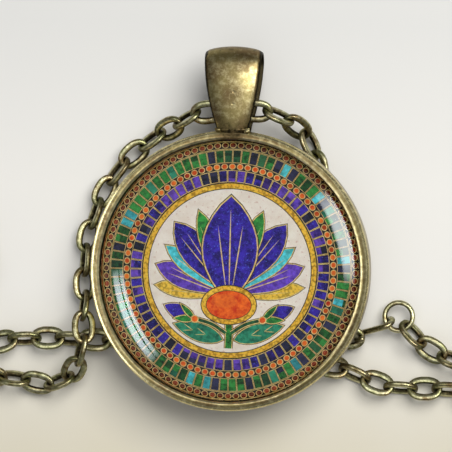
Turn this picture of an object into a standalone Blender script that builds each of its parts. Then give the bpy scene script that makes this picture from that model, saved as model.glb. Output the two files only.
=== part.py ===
"""A round glass cabochon pendant on a cable chain, lying face up on its own chain.

Metres, +Z up. The pendant looks along +Z and its bail points along +Y. The origin is the bottom
centre of the whole necklace as it lies on a table. The chain is one closed loop: it runs from the
clasp ring through a flat coil on the right, under the pendant, through a flat coil on the left, up
through the bail and back under the pendant to the clasp hook.
"""
import math

import bpy
import bmesh
from mathutils import Matrix, Vector
from mathutils.geometry import interpolate_bezier

MM = 0.001

# Glass and printed disc
GLASS_DIAMETER = 25.0 * MM
GLASS_EDGE_HEIGHT = 1.4 * MM
GLASS_DOME_RISE = 4.3 * MM
PRINT_THICKNESS = 0.2 * MM

# Tray
RIM_WIDTH = 0.9 * MM
TRAY_HEIGHT = 3.2 * MM
TRAY_FLOOR = 0.8 * MM
BACK_FILLET = 0.7 * MM
RIM_ROUNDING = 0.14 * MM
GLASS_SIDE_GAP = 0.1 * MM
GLUE_GAP = 0.1 * MM

# Bail
BAIL_HEIGHT = 8.1 * MM
BAIL_TOP_WIDTH = 5.5 * MM
BAIL_ROOT_WIDTH = 3.0 * MM
BAIL_TAPER_POWER = 2.2
STRAP_THICKNESS = 0.7 * MM
STRAP_CROWN = 0.4 * MM
STRAP_SHOULDER = 0.6
STRAP_SHOULDER_DROP = 0.33
BAIL_BACK_OFFSET = 0.1 * MM
BAIL_ROOT_DROP = 0.95 * MM
BAIL_ROOT_RUN = 3.7 * MM
BAIL_ROOT_DEPTH = 0.45 * MM
BAIL_ROOT_FRONT_EASE = 0.5
BAIL_ROOT_BACK_EASE = 0.33
CHAIN_CLEARANCE = 0.35 * MM

# Chain links
WIRE = 0.54 * MM
LINK_LENGTH = 3.42 * MM
LINK_WIDTH = 2.25 * MM
LINK_END_BAR = 1.2 * MM
LINK_FUSE = 0.05 * MM
LINKS_PER_STRETCH = 5
SEEN_LEAN = math.radians(20)
COIL_LEAN = math.radians(45)
SEEN_WIRE_SIDES = 4
COIL_WIRE_SIDES = 3

# Clasp
CLASP_WIRE = 0.6 * MM
RING_INNER_DIAMETER = 2.2 * MM
RING_WIRE = 0.5 * MM
HOOK_BEND_RADIUS = 0.78 * MM
HOOK_PITCH = 3.3 * MM
CLASP_PLAY = 0.05 * MM

# Lay on the table
REST_GAP = 0.1 * MM
CROSSING_GAP = 0.08 * MM
COIL_RADIUS = 11.0 * MM
COIL_TURN_GAP = 0.2 * MM
COIL_BOTTOM = 12.1 * MM
COIL_NEAR_EDGE = 23.4 * MM
RIGHT_COIL_CORE = 5.12 * MM
LEFT_COIL_CORE = 5.18 * MM
COIL_NEAR_TURN = 0.75

# The chain's route by hand, in tray radii from the pendant's centre.
# The third number is the height above lying flat, as a share of the height named beside the list.
RING_CENTRE = (1.193, -0.304)
HOOK_SIDE = (-0.87, -0.49)
CHAIN_SIDE = (0.57, -0.82)
RIGHT_OUT = [(1.363, -0.496, 0), (1.489, -0.57, 0), (1.615, -0.622, 0), (1.926, -0.681, 0),
             (2.222, -0.733, 0)]
RIGHT_BACK = [(2.222, -0.889, 0), (1.926, -0.844, 0), (1.6, -0.815, 0), (1.407, -0.815, 0)]
UNDER = [(1.237, -0.815, 0), (1.067, -0.8, 0), (0.919, -0.733, 0), (0.778, -0.681, 0),
         (0.593, -0.652, 0), (0.333, -0.6, 0), (-0.296, -0.541, 0), (-0.941, -0.526, 0)]
LEFT_OUT = [(-1.37, -0.519, 0), (-1.652, -0.541, 0), (-1.926, -0.637, 0), (-2.222, -0.726, 0)]
LEFT_BACK = [(-2.222, -0.881, 0), (-1.926, -0.822, 0), (-1.733, -0.807, 0), (-1.496, -0.83, 0)]
# Shares of the hump over the strand below
CROSSING = [(-1.333, -0.859, 0), (-1.185, -0.807, 0.15), (-1.096, -0.659, 0.85), (-1.059, -0.526, 1.0),
            (-1.067, -0.385, 0.9), (-1.081, -0.193, 0.1), (-1.089, 0.022, 0)]
# Shares of the bail's height above the table
UP_LEFT = [(-1.067, 0.222, 0), (-1.015, 0.407, 0), (-0.956, 0.548, 0), (-0.867, 0.696, 0),
           (-0.741, 0.837, 0), (-0.593, 0.941, 0.1), (-0.43, 1.037, 0.55), (-0.237, 1.126, 0.95)]
IN_BAIL = [(0.0, 1.141, 1.0), (0.23, 1.141, 0.95)]
DOWN_RIGHT = [(0.415, 1.067, 0.55), (0.519, 0.956, 0.1), (0.585, 0.785, 0), (0.615, 0.474, 0),
              (0.622, 0.148, 0), (0.6, -0.133, 0), (0.585, -0.289, 0), (0.644, -0.415, 0), (0.763, -0.481, 0)]

# Facets
TRAY_SEGMENTS = 48
GLASS_SEGMENTS = 40
DOME_STEPS = 5
BAIL_ARC_STEPS = 6
RING_SEGMENTS = 14
HOOK_ARC_STEPS = 6
CLASP_WIRE_SIDES = 5
CURVE_SAMPLES = 24
FILLET_STEPS = 3
COIL_POINT_STEP = math.radians(15)
CORE_BEND_STEPS = 4
BISECTIONS = 40
STEP_RANGE = 0.1

opening_radius = GLASS_DIAMETER / 2 + GLASS_SIDE_GAP
tray_radius = opening_radius + RIM_WIDTH
bail_top = tray_radius + BAIL_HEIGHT
pendant_y = -(bail_top - tray_radius) / 2


def chain_height(lean):
    """Thickness of the lying chain whose links lean this much, one way and the other."""
    return (LINK_WIDTH - WIRE) * math.cos(lean) + WIRE


tray_z = chain_height(SEEN_LEAN) + REST_GAP
bail_opening = chain_height(SEEN_LEAN) + CHAIN_CLEARANCE
bail_middle_z = tray_z + BAIL_BACK_OFFSET + STRAP_THICKNESS + bail_opening / 2
print_z = tray_z + TRAY_FLOOR + GLUE_GAP
glass_z = print_z + PRINT_THICKNESS + GLUE_GAP


def clear_scene():
    for obj in list(bpy.data.objects):
        bpy.data.objects.remove(obj)


def material(name, colour, roughness, metallic=0.0, transmission=0.0):
    mat = bpy.data.materials.new(name)
    mat.use_nodes = True
    shader = mat.node_tree.nodes["Principled BSDF"]
    shader.inputs["Base Color"].default_value = (*colour, 1.0)
    shader.inputs["Roughness"].default_value = roughness
    shader.inputs["Metallic"].default_value = metallic
    shader.inputs["Transmission Weight"].default_value = transmission
    return mat


def bronze(name):
    return material(name + "_bronze", (0.33, 0.27, 0.13), 0.35, metallic=1.0)


def object_from_bmesh(name, bm, mat, smooth_angle=math.radians(40)):
    bmesh.ops.recalc_face_normals(bm, faces=bm.faces)
    mesh = bpy.data.meshes.new(name)
    bm.to_mesh(mesh)
    bm.free()
    mesh.materials.append(mat)
    mesh.shade_smooth()
    mesh.set_sharp_from_angle(angle=smooth_angle)
    obj = bpy.data.objects.new(name, mesh)
    bpy.context.scene.collection.objects.link(obj)
    return obj


def add_turned(bm, profile, segments):
    """Adds a closed solid turned about Z from (radius, z) points that start and end on the axis."""
    rings = []
    for radius, z in profile:
        if radius == 0:
            rings.append([bm.verts.new((0, 0, z))])
            continue
        ring = []
        for i in range(segments):
            turn = 2 * math.pi * i / segments
            ring.append(bm.verts.new((radius * math.cos(turn), radius * math.sin(turn), z)))
        rings.append(ring)
    for low, high in zip(rings, rings[1:]):
        for i in range(segments):
            j = (i + 1) % segments
            if len(low) == 1:
                bm.faces.new((low[0], high[j], high[i]))
            elif len(high) == 1:
                bm.faces.new((low[i], low[j], high[0]))
            else:
                bm.faces.new((low[i], low[j], high[j], high[i]))


def outward_at(before, point, after, side):
    """Outward direction at a corner of a flat path, lengthened so that the sides keep their width."""
    runs = [run for run in (point - before, after - point) if run.length > 0]
    mean = sum((run.normalized().cross(side) for run in runs), Vector()) / len(runs)
    return mean / mean.length_squared


def add_sweep(bm, path, side, sections, closed):
    """Sweeps sections along a flat path. A section's points are (outward, sideways) offsets."""
    count = len(path)
    rings = []
    for i, point in enumerate(path):
        before = path[i - 1] if closed or i > 0 else point
        after = path[(i + 1) % count] if closed or i < count - 1 else point
        outward = outward_at(before, point, after, side)
        rings.append([bm.verts.new(point + outward * u + side * v) for u, v in sections[i]])
    pairs = list(zip(rings, rings[1:]))
    if closed:
        pairs.append((rings[-1], rings[0]))
    for ring, following in pairs:
        for i in range(len(ring)):
            j = (i + 1) % len(ring)
            bm.faces.new((ring[i], ring[j], following[j], following[i]))
    if not closed:
        bm.faces.new(rings[0])
        bm.faces.new(rings[-1])


def wire_section(radius, sides):
    """A regular section with one corner on the inner side of the bend."""
    turns = [math.pi + 2 * math.pi * i / sides for i in range(sides)]
    return [(radius * math.cos(t), radius * math.sin(t)) for t in turns]


def union(target, tool):
    """Joins tool into target and removes tool."""
    modifier = target.modifiers.new("union", "BOOLEAN")
    modifier.operation = "UNION"
    modifier.solver = "EXACT"
    modifier.object = tool
    depsgraph = bpy.context.evaluated_depsgraph_get()
    joined = bpy.data.meshes.new_from_object(target.evaluated_get(depsgraph))
    target.modifiers.remove(modifier)
    target.data = joined
    bpy.data.objects.remove(tool)


def tray_profile():
    """Half section of the cup, from the middle of its back round the rim to the middle inside."""
    r, inner, h = tray_radius, opening_radius, TRAY_HEIGHT
    turns = [math.pi / 2 * i / FILLET_STEPS for i in range(FILLET_STEPS + 1)]
    fillet = [(r - BACK_FILLET * (1 - math.sin(t)), BACK_FILLET * (1 - math.cos(t))) for t in turns]
    rim = [(r, h - RIM_ROUNDING), (r - RIM_ROUNDING, h), (inner + RIM_ROUNDING, h),
           (inner, h - RIM_ROUNDING)]
    return [(0, 0)] + fillet + rim + [(inner, TRAY_FLOOR), (0, TRAY_FLOOR)]


def bail_path():
    """Centre line of the folded strap in the tray's own frame, from the back root to the front."""
    middle = BAIL_BACK_OFFSET + STRAP_THICKNESS + bail_opening / 2
    arc = (bail_opening + STRAP_THICKNESS) / 2
    arc_y = bail_top - STRAP_THICKNESS / 2 - arc
    root_y = tray_radius - BAIL_ROOT_DEPTH
    root_end = tray_radius + BAIL_ROOT_RUN
    path = [Vector((0, root_y, middle - arc)), Vector((0, (root_y + arc_y) / 2, middle - arc))]
    for i in range(BAIL_ARC_STEPS + 1):
        turn = -math.pi / 2 + math.pi * i / BAIL_ARC_STEPS
        path.append(Vector((0, arc_y + arc * math.cos(turn), middle + arc * math.sin(turn))))
    start = Vector((0, root_end, middle + arc))
    end = Vector((0, root_y, middle + arc - BAIL_ROOT_DROP))
    front_ease = Vector((0, BAIL_ROOT_RUN * BAIL_ROOT_FRONT_EASE, 0))
    back_ease = Vector((0, BAIL_ROOT_RUN * BAIL_ROOT_BACK_EASE, BAIL_ROOT_DROP / 2))
    path += interpolate_bezier(start, start - front_ease, end + back_ease, end, BAIL_ARC_STEPS)
    return path


def strap_section(width):
    """Section of the strap: flat inside, crowned outside, with thin edges."""
    half, inside = width / 2, -STRAP_THICKNESS / 2
    top = STRAP_THICKNESS / 2
    edge = top - STRAP_CROWN
    shoulder = top - STRAP_CROWN * STRAP_SHOULDER_DROP
    return [(inside, -half), (edge, -half), (shoulder, -half * STRAP_SHOULDER), (top, 0),
            (shoulder, half * STRAP_SHOULDER), (edge, half), (inside, half)]


def bail_width(y):
    """The strap narrows towards its root, slowly near the top and faster below."""
    share = min(max((bail_top - y) / BAIL_HEIGHT, 0), 1)
    spread = BAIL_TOP_WIDTH - BAIL_ROOT_WIDTH
    return BAIL_ROOT_WIDTH + spread * (1 - share ** BAIL_TAPER_POWER)


def make_tray():
    bm = bmesh.new()
    add_turned(bm, tray_profile(), TRAY_SEGMENTS)
    tray = object_from_bmesh("pendant_tray", bm, bronze("tray"))
    bm = bmesh.new()
    path = bail_path()
    sections = [strap_section(bail_width(point.y)) for point in path]
    add_sweep(bm, path, Vector((1, 0, 0)), sections, closed=False)
    bail = object_from_bmesh("bail", bm, tray.data.materials[0])
    union(tray, bail)
    tray.location = (0, pendant_y, tray_z)
    return tray


def make_print():
    bm = bmesh.new()
    radius = GLASS_DIAMETER / 2
    profile = [(0, 0), (radius, 0), (radius, PRINT_THICKNESS), (0, PRINT_THICKNESS)]
    add_turned(bm, profile, GLASS_SEGMENTS)
    paper = material("printed_paper", (0.12, 0.22, 0.20), 0.6)
    disc = object_from_bmesh("printed_disc", bm, paper)
    disc.location = (0, pendant_y, print_z)
    return disc


def make_glass():
    radius = GLASS_DIAMETER / 2
    sphere = (radius ** 2 + GLASS_DOME_RISE ** 2) / (2 * GLASS_DOME_RISE)
    edge_turn = math.asin(radius / sphere)
    top = GLASS_EDGE_HEIGHT + GLASS_DOME_RISE
    dome = []
    for i in range(DOME_STEPS + 1):
        turn = edge_turn * (1 - i / DOME_STEPS)
        dome.append((sphere * math.sin(turn), top - sphere * (1 - math.cos(turn))))
    dome[-1] = (0, top)
    bm = bmesh.new()
    add_turned(bm, [(0, 0), (radius, 0)] + dome, GLASS_SEGMENTS)
    clear = material("clear_glass", (1.0, 1.0, 1.0), 0.02, transmission=1.0)
    glass = object_from_bmesh("glass_cabochon", bm, clear)
    glass.location = (0, pendant_y, glass_z)
    return glass


def smooth_curve(points):
    """A dense smooth curve through the points, with the chord lengths as its parameter."""
    ends = [2 * points[0] - points[1]] + points + [2 * points[-1] - points[-2]]
    dense = []
    for a, b, c, d in zip(ends, ends[1:], ends[2:], ends[3:]):
        t1 = math.sqrt((b - a).length)
        t2 = t1 + math.sqrt((c - b).length)
        t3 = t2 + math.sqrt((d - c).length)
        for i in range(CURVE_SAMPLES):
            t = t1 + (t2 - t1) * i / CURVE_SAMPLES
            ab = a.lerp(b, t / t1)
            bc = b.lerp(c, (t - t1) / (t2 - t1))
            cd = c.lerp(d, (t - t2) / (t3 - t2))
            abc = ab.lerp(bc, t / t2)
            bcd = bc.lerp(cd, (t - t1) / (t3 - t1))
            dense.append(abc.lerp(bcd, (t - t1) / (t2 - t1)))
    return dense + [points[-1]]


def lean_at(x):
    """How far the links lean: as seen near the pendant, evenly both ways in the coils."""
    near, far = COIL_NEAR_EDGE - LINK_LENGTH / 2, COIL_NEAR_EDGE + LINK_LENGTH
    share = min(max((abs(x) - near) / (far - near), 0), 1)
    return SEEN_LEAN + (COIL_LEAN - SEEN_LEAN) * share


def table_point(x, y, height=0.0):
    """A point of the chain's centre line, height above where the chain lies flat."""
    return Vector((x, y, chain_height(lean_at(x)) / 2 + height))


def hand_points(route, unit_height):
    """The route's points in metres in the part's frame."""
    return [table_point(x * tray_radius, pendant_y + y * tray_radius, share * unit_height)
            for x, y, share in route]


def coil_points(side, core_radius):
    """A flat coil of two strands wound side by side: in along one, and back out along the other."""
    turn_gap = chain_height(COIL_LEAN) + COIL_TURN_GAP
    near_radius = COIL_RADIUS - 2 * turn_gap * COIL_NEAR_TURN
    middle_x = side * (COIL_NEAR_EDGE + chain_height(COIL_LEAN) / 2 + near_radius)
    middle_y = pendant_y - COIL_BOTTOM + COIL_RADIUS
    start = -math.pi / 2
    outer_end = start + (COIL_RADIUS - core_radius) * math.pi / turn_gap
    inner_end = outer_end - math.pi

    def at(turn, radius):
        return table_point(middle_x + side * radius * math.cos(turn), middle_y + radius * math.sin(turn))

    def arm(radius, last):
        steps = int((last - start) / COIL_POINT_STEP)
        turns = [start + (last - start) * i / steps for i in range(steps + 1)]
        return [at(t, radius - (t - start) * turn_gap / math.pi) for t in turns]

    inner_arm = arm(COIL_RADIUS - turn_gap, inner_end)
    outer_arm = arm(COIL_RADIUS, outer_end)
    middle = Vector((middle_x, middle_y, inner_arm[-1].z))
    bends = []
    for end in (inner_arm[-1], outer_arm[-1]):
        hub = (end + middle) / 2
        bends.append([Matrix.Rotation(side * math.pi * i / CORE_BEND_STEPS, 3, "Z") @ (end - hub) + hub
                      for i in range(1, CORE_BEND_STEPS)])
    return inner_arm + bends[0] + [middle] + bends[1][::-1] + outer_arm[::-1]


def ring_centre():
    x, y = RING_CENTRE
    return table_point(x * tray_radius, pendant_y + y * tray_radius)


def clasp_points():
    """Where the ring touches the chain, where it touches the hook, and the hook's far contact."""
    centre = ring_centre()
    reach = RING_INNER_DIAMETER / 2
    chain_side = Vector((*CHAIN_SIDE, 0)).normalized()
    hook_side = Vector((*HOOK_SIDE, 0)).normalized()
    on_chain = centre + chain_side * (reach - CLASP_PLAY)
    on_hook = centre + hook_side * (reach - CLASP_PLAY)
    return on_chain, on_hook, on_hook + hook_side * (HOOK_PITCH - CLASP_PLAY)


def chain_route():
    """Dense points of the chain's centre line, from the clasp ring round to the clasp hook."""
    on_chain, _, hook_end = clasp_points()
    hump = chain_height(SEEN_LEAN) + CROSSING_GAP
    bail_height = bail_middle_z - chain_height(SEEN_LEAN) / 2
    points = [on_chain]
    points += hand_points(RIGHT_OUT, 0) + coil_points(1, RIGHT_COIL_CORE) + hand_points(RIGHT_BACK, 0)
    points += hand_points(UNDER, 0) + hand_points(LEFT_OUT, 0)
    points += coil_points(-1, LEFT_COIL_CORE) + hand_points(LEFT_BACK, 0)
    points += hand_points(CROSSING, hump) + hand_points(UP_LEFT + IN_BAIL + DOWN_RIGHT, bail_height)
    return smooth_curve(points + [hook_end])


def walk(curve, step, count):
    """Points on the curve that lie one straight step apart, count steps at most."""
    joints = [curve[0]]
    index = 0
    while len(joints) <= count and index < len(curve) - 1:
        here = joints[-1]
        if (curve[index + 1] - here).length < step:
            index += 1
            continue
        low, high = 0.0, 1.0
        for _ in range(BISECTIONS):
            middle = (low + high) / 2
            if (curve[index].lerp(curve[index + 1], middle) - here).length < step:
                low = middle
            else:
                high = middle
        joints.append(curve[index].lerp(curve[index + 1], high))
    return joints


def link_joints():
    """The points where links touch. The step is nudged until a whole, even number fits."""
    curve = chain_route()
    nominal = LINK_LENGTH - 2 * WIRE
    length = sum((b - a).length for a, b in zip(curve, curve[1:]))
    count = 2 * round(length / nominal / 2)
    low, high = nominal * (1 - STEP_RANGE), nominal * (1 + STEP_RANGE)
    for _ in range(BISECTIONS):
        step = (low + high) / 2
        if len(walk(curve, step, count)) <= count:
            high = step
        else:
            low = step
    return walk(curve, low, count), low


def link_frame(start, end, leaning_over):
    """Rotation that puts a link's length from start to end. Every second link leans over."""
    along = (end - start).normalized()
    level = Vector((0, 0, 1)).cross(along).normalized()
    up = along.cross(level)
    lean = lean_at((start.x + end.x) / 2) + (math.pi / 2 if leaning_over else 0)
    across = level * math.cos(lean) + up * math.sin(lean)
    normal = along.cross(across)
    return Matrix((along, across, normal)).transposed().to_4x4()


def link_outline():
    """Corners of a link's centre line in its own plane: a short end bar, then a bowed side."""
    tip = (LINK_LENGTH - WIRE) / 2
    half = (LINK_WIDTH - WIRE) / 2
    bar = LINK_END_BAR / 2
    return [Vector(p) for p in ((tip, bar, 0), (0, half, 0), (-tip, bar, 0),
                                (-tip, -bar, 0), (0, -half, 0), (tip, -bar, 0))]


def make_link(name, place, sides, mat):
    bm = bmesh.new()
    outline = link_outline()
    section = wire_section(WIRE / 2, sides)
    add_sweep(bm, outline, Vector((0, 0, 1)), [section] * len(outline), closed=True)
    bm.transform(place)
    return object_from_bmesh(name, bm, mat)


def make_chain():
    """The chain in short stretches. Links touch inside a stretch and hang free between stretches."""
    joints, step = link_joints()
    count = len(joints) - 1
    mat = bronze("chain")
    nominal = LINK_LENGTH - 2 * WIRE
    stretches = []
    for first in range(0, count, LINKS_PER_STRETCH):
        members = range(first, min(first + LINKS_PER_STRETCH, count))
        spread = nominal - step + LINK_FUSE
        middle = (members[0] + members[-1]) / 2
        stretch = None
        for i in members:
            start, end = joints[i], joints[i + 1]
            along = (end - start).normalized()
            centre = (start + end) / 2 + along * spread * (i - middle)
            sides = SEEN_WIRE_SIDES if abs(centre.x) < COIL_NEAR_EDGE else COIL_WIRE_SIDES
            place = Matrix.Translation(centre) @ link_frame(start, end, i % 2 == 0)
            link = make_link(f"chain_{first // LINKS_PER_STRETCH + 1:02d}", place, sides, mat)
            if stretch is None:
                stretch = link
            else:
                union(stretch, link)
        stretches.append(stretch)
    return stretches


def make_ring():
    """The plain wire ring at the end of the chain. It lies level."""
    radius = (RING_INNER_DIAMETER + RING_WIRE) / 2
    bm = bmesh.new()
    path = []
    for i in range(RING_SEGMENTS):
        turn = 2 * math.pi * i / RING_SEGMENTS
        path.append(Vector((radius * math.cos(turn), radius * math.sin(turn), 0)))
    section = wire_section(RING_WIRE / 2, CLASP_WIRE_SIDES)
    add_sweep(bm, path, Vector((0, 0, 1)), [section] * RING_SEGMENTS, closed=True)
    bm.transform(Matrix.Translation(ring_centre()))
    return object_from_bmesh("clasp_ring", bm, bronze("clasp_ring"))


def make_hook():
    """An S of wire: one bend holds the chain's last link, the other drops into the ring."""
    _, on_hook, hook_end = clasp_points()
    reach = HOOK_PITCH / 2 - (HOOK_BEND_RADIUS - CLASP_WIRE / 2)
    path = []
    for i in range(HOOK_ARC_STEPS + 1):
        turn = math.pi * (1 - i / HOOK_ARC_STEPS)
        path.append(Vector((reach + HOOK_BEND_RADIUS * math.sin(turn),
                            HOOK_BEND_RADIUS * math.cos(turn), 0)))
    path += [-point for point in path[::-1]]
    bm = bmesh.new()
    section = wire_section(CLASP_WIRE / 2, CLASP_WIRE_SIDES)
    add_sweep(bm, path, Vector((0, 0, 1)), [section] * len(path), closed=False)
    middle = (on_hook + hook_end) / 2
    bm.transform(Matrix.Translation(middle) @ link_frame(hook_end, on_hook, True))
    return object_from_bmesh("clasp_hook", bm, bronze("clasp_hook"))


def main():
    clear_scene()
    make_tray()
    make_print()
    make_glass()
    make_chain()
    make_ring()
    make_hook()


main()
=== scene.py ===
"""Looks of the glass cabochon pendant necklace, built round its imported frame.

Metres, +Z up, in the frame's own coordinates. The chain's route repeats the part's, so every link lies
where its solid does.
"""

import math
import random

import bpy
from mathutils import Matrix, Vector, noise
from mathutils.geometry import delaunay_2d_cdt, interpolate_bezier


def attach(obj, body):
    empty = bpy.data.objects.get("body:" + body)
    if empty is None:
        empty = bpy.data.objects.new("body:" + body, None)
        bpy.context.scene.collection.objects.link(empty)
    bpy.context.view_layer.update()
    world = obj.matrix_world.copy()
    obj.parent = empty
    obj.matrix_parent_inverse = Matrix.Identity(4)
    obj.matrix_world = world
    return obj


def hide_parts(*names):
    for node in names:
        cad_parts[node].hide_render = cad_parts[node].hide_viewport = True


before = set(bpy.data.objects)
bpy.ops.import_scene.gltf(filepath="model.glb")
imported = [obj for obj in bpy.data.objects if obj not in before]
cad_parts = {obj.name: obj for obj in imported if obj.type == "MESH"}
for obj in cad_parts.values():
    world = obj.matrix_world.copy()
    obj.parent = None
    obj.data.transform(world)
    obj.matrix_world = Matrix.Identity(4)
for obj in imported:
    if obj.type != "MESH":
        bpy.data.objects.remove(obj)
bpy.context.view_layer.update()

MM = 0.001

# Glass, print and tray, as in the part
GLASS_DIAMETER = 25.0 * MM
GLASS_EDGE_HEIGHT = 1.4 * MM
GLASS_DOME_RISE = 4.3 * MM
PRINT_THICKNESS = 0.2 * MM
RIM_WIDTH = 0.9 * MM
TRAY_HEIGHT = 3.2 * MM
TRAY_FLOOR = 0.8 * MM
BACK_FILLET = 0.7 * MM
GLASS_SIDE_GAP = 0.1 * MM
GLUE_GAP = 0.1 * MM

# Bail, as in the part
BAIL_HEIGHT = 8.1 * MM
BAIL_TOP_WIDTH = 5.5 * MM
BAIL_ROOT_WIDTH = 3.0 * MM
BAIL_TAPER_POWER = 2.2
STRAP_THICKNESS = 0.7 * MM
STRAP_CROWN = 0.4 * MM
BAIL_BACK_OFFSET = 0.1 * MM
BAIL_ROOT_DROP = 0.95 * MM
BAIL_ROOT_RUN = 3.7 * MM
BAIL_ROOT_DEPTH = 0.45 * MM
BAIL_ROOT_FRONT_EASE = 0.5
BAIL_ROOT_BACK_EASE = 0.33
CHAIN_CLEARANCE = 0.35 * MM

# Chain and clasp, as in the part
WIRE = 0.54 * MM
LINK_LENGTH = 3.42 * MM
LINK_WIDTH = 2.25 * MM
LINKS_PER_STRETCH = 5
SEEN_LEAN = math.radians(20)
COIL_LEAN = math.radians(45)
CLASP_WIRE = 0.6 * MM
RING_INNER_DIAMETER = 2.2 * MM
RING_WIRE = 0.5 * MM
HOOK_BEND_RADIUS = 0.78 * MM
HOOK_PITCH = 3.3 * MM
CLASP_PLAY = 0.05 * MM
REST_GAP = 0.1 * MM
CROSSING_GAP = 0.08 * MM
COIL_RADIUS = 11.0 * MM
COIL_TURN_GAP = 0.2 * MM
COIL_BOTTOM = 12.1 * MM
COIL_NEAR_EDGE = 23.4 * MM
RIGHT_COIL_CORE = 5.12 * MM
LEFT_COIL_CORE = 5.18 * MM
COIL_NEAR_TURN = 0.75

# The chain's route, in tray radii from the pendant's centre.
# The third number is the height above lying flat, as a share of the height named beside the list.
RING_CENTRE = (1.193, -0.304)
HOOK_SIDE = (-0.87, -0.49)
CHAIN_SIDE = (0.57, -0.82)
RIGHT_OUT = [(1.363, -0.496, 0), (1.489, -0.57, 0), (1.615, -0.622, 0), (1.926, -0.681, 0),
             (2.222, -0.733, 0)]
RIGHT_BACK = [(2.222, -0.889, 0), (1.926, -0.844, 0), (1.6, -0.815, 0), (1.407, -0.815, 0)]
UNDER = [(1.237, -0.815, 0), (1.067, -0.8, 0), (0.919, -0.733, 0), (0.778, -0.681, 0),
         (0.593, -0.652, 0), (0.333, -0.6, 0), (-0.296, -0.541, 0), (-0.941, -0.526, 0)]
LEFT_OUT = [(-1.37, -0.519, 0), (-1.652, -0.541, 0), (-1.926, -0.637, 0), (-2.222, -0.726, 0)]
LEFT_BACK = [(-2.222, -0.881, 0), (-1.926, -0.822, 0), (-1.733, -0.807, 0), (-1.496, -0.83, 0)]
# Shares of the hump over the strand below
CROSSING = [(-1.333, -0.859, 0), (-1.185, -0.807, 0.15), (-1.096, -0.659, 0.85), (-1.059, -0.526, 1.0),
            (-1.067, -0.385, 0.9), (-1.081, -0.193, 0.1), (-1.089, 0.022, 0)]
# Shares of the bail's height above the table
UP_LEFT = [(-1.067, 0.222, 0), (-1.015, 0.407, 0), (-0.956, 0.548, 0), (-0.867, 0.696, 0),
           (-0.741, 0.837, 0), (-0.593, 0.941, 0.1), (-0.43, 1.037, 0.55), (-0.237, 1.126, 0.95)]
IN_BAIL = [(0.0, 1.141, 1.0), (0.23, 1.141, 0.95)]
DOWN_RIGHT = [(0.415, 1.067, 0.55), (0.519, 0.956, 0.1), (0.585, 0.785, 0), (0.615, 0.474, 0),
              (0.622, 0.148, 0), (0.6, -0.133, 0), (0.585, -0.289, 0), (0.644, -0.415, 0),
              (0.763, -0.481, 0)]
CURVE_SAMPLES = 24
COIL_POINT_STEP = math.radians(15)
CORE_BEND_STEPS = 4
BISECTIONS = 40
STEP_RANGE = 0.1

opening_radius = GLASS_DIAMETER / 2 + GLASS_SIDE_GAP
tray_radius = opening_radius + RIM_WIDTH
bail_top = tray_radius + BAIL_HEIGHT
pendant_y = -(bail_top - tray_radius) / 2


def chain_height(lean):
    """Thickness of the lying chain whose links lean this much, one way and the other."""
    return (LINK_WIDTH - WIRE) * math.cos(lean) + WIRE


tray_z = chain_height(SEEN_LEAN) + REST_GAP
bail_opening = chain_height(SEEN_LEAN) + CHAIN_CLEARANCE
bail_middle_z = tray_z + BAIL_BACK_OFFSET + STRAP_THICKNESS + bail_opening / 2
print_z = tray_z + TRAY_FLOOR + GLUE_GAP
print_top = print_z + PRINT_THICKNESS
glass_z = print_top + GLUE_GAP


def smooth_curve(points):
    """A dense smooth curve through the points, with the chord lengths as its parameter."""
    ends = [2 * points[0] - points[1]] + points + [2 * points[-1] - points[-2]]
    dense = []
    for a, b, c, d in zip(ends, ends[1:], ends[2:], ends[3:]):
        t1 = math.sqrt((b - a).length)
        t2 = t1 + math.sqrt((c - b).length)
        t3 = t2 + math.sqrt((d - c).length)
        for i in range(CURVE_SAMPLES):
            t = t1 + (t2 - t1) * i / CURVE_SAMPLES
            ab = a.lerp(b, t / t1)
            bc = b.lerp(c, (t - t1) / (t2 - t1))
            cd = c.lerp(d, (t - t2) / (t3 - t2))
            abc = ab.lerp(bc, t / t2)
            bcd = bc.lerp(cd, (t - t1) / (t3 - t1))
            dense.append(abc.lerp(bcd, (t - t1) / (t2 - t1)))
    return dense + [points[-1]]


def lean_at(x):
    """How far the links lean: as seen near the pendant, evenly both ways in the coils."""
    near, far = COIL_NEAR_EDGE - LINK_LENGTH / 2, COIL_NEAR_EDGE + LINK_LENGTH
    share = min(max((abs(x) - near) / (far - near), 0), 1)
    return SEEN_LEAN + (COIL_LEAN - SEEN_LEAN) * share


def table_point(x, y, height=0.0):
    """A point of the chain's centre line, height above where the chain lies flat."""
    return Vector((x, y, chain_height(lean_at(x)) / 2 + height))


def hand_points(route, unit_height):
    """The route's points in metres in the part's frame."""
    return [table_point(x * tray_radius, pendant_y + y * tray_radius, share * unit_height)
            for x, y, share in route]


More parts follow.
